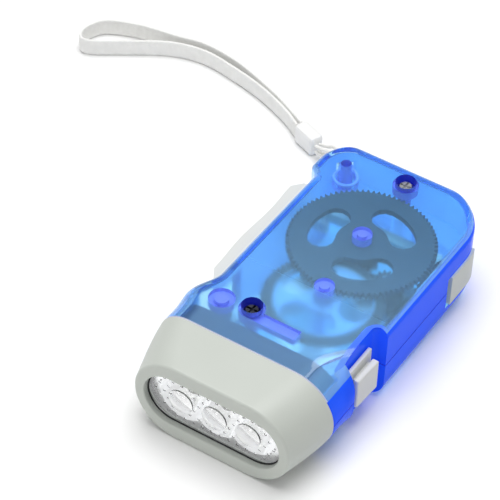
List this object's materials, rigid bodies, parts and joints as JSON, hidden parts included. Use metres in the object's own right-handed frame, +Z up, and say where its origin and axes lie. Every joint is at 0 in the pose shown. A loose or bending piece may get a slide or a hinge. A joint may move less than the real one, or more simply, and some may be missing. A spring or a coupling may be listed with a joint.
{
  "type": "hand crank flashlight",
  "caption": "Palm-sized dynamo torch: a side squeeze lever turns a gear train and generator in a see-through blue housing, with a grey nose, LEDs, thumb switch and wrist strap.",
  "frame": {"origin": "centre of the flat underside, on the surface the torch lies on, midway between the nose's face and the tail", "axes": "+Y along the housing from the lit nose to the tail, +Z up through the broad faces, +X towards the thumb switch, away from the squeeze lever"},
  "size_m": [0.1448, 0.1257, 0.024],
  "materials": {
    "blue_shell": "translucent blue moulded plastic, polished",
    "grey_plastic": "light warm grey moulded plastic, satin",
    "dark_gear": "dark grey acetal gear plastic",
    "clear_plastic": "clear moulded plastic",
    "chrome": "vacuum-metallised plastic",
    "steel": "plain steel",
    "spring_steel": "spring wire",
    "magnet": "dark grey sintered magnet",
    "copper": "enamelled copper wire",
    "board": "green circuit board",
    "white_led": "clear epoxy with a pale yellow chip",
    "white_weave": "white woven polyester",
    "white_plastic": "white moulded plastic"
  },
  "bodies": {
    "housing": {"upper_shell": "blue_shell", "lower_shell": "blue_shell", "nose_bezel": "grey_plastic", "lens": "clear_plastic", "reflector": "chrome", "led_left": "white_led", "led_centre": "white_led", "led_right": "white_led", "led_board": "board", "switch_board": "board", "coin_cell_lower": "steel", "coin_cell_upper": "steel", "cell_contact_bottom": "steel", "cell_contact_top": "steel", "lever_pivot_pin": "steel", "drive_axle": "steel", "idler_axle": "steel", "rotor_pin": "steel", "stator_lower": "steel", "stator_upper": "steel", "coil_bobbin": "white_plastic", "coil_winding": "copper", "lever_spring": "spring_steel", "ratchet_spring": "spring_steel", "screw_front": "steel", "screw_tail": "steel", "strap_band": "white_weave", "strap_cord_a": "white_weave", "strap_cord_b": "white_weave", "strap_ferrule": "white_plastic"},
    "lever": {"squeeze_lever": "grey_plastic", "catch_pin": "steel"},
    "drive": {"drive_gear": "dark_gear", "drive_pinion": "dark_gear"},
    "idler": {"idler_gear": "dark_gear"},
    "rotor": {"rotor_pinion": "dark_gear", "rotor_magnet": "magnet"},
    "switch": {"switch_slider": "grey_plastic"},
    "lock": {"lock_slider": "grey_plastic"}
  },
  "joints": [
    {"name": "lever_squeeze", "type": "hinge", "parent": "housing", "child": "lever", "pos_m": [-0.015, -0.01952, 0], "axis": [0, 0, 1], "range_deg": [0, 20]},
    {"name": "drive_spin", "type": "hinge", "parent": "housing", "child": "drive", "pos_m": [0.0016, 0.0195, 0], "axis": [0, 0, 1], "range_deg": [-193, 1]},
    {"name": "idler_spin", "type": "hinge", "parent": "housing", "child": "idler", "pos_m": [0.0034, -0.00157, 0], "axis": [0, 0, 1], "range_deg": [-8, 1621]},
    {"name": "rotor_spin", "type": "hinge", "parent": "housing", "child": "rotor", "pos_m": [0.01218, 0.01363, 0], "axis": [0, 0, 1], "range_deg": [-11020, 50]},
    {"name": "switch_slide", "type": "slide", "parent": "housing", "child": "switch", "axis": [0, 1, 0], "range_m": [0, 0.002]},
    {"name": "lock_slide", "type": "slide", "parent": "housing", "child": "lock", "axis": [0, -1, 0], "range_m": [0, 0.0012]}
  ],
  "couplings": [
    {"joint": "drive_spin", "follows": "lever_squeeze", "ratio": -9.6},
    {"joint": "idler_spin", "follows": "lever_squeeze", "ratio": 80.64},
    {"joint": "rotor_spin", "follows": "lever_squeeze", "ratio": -548.35}
  ]
}
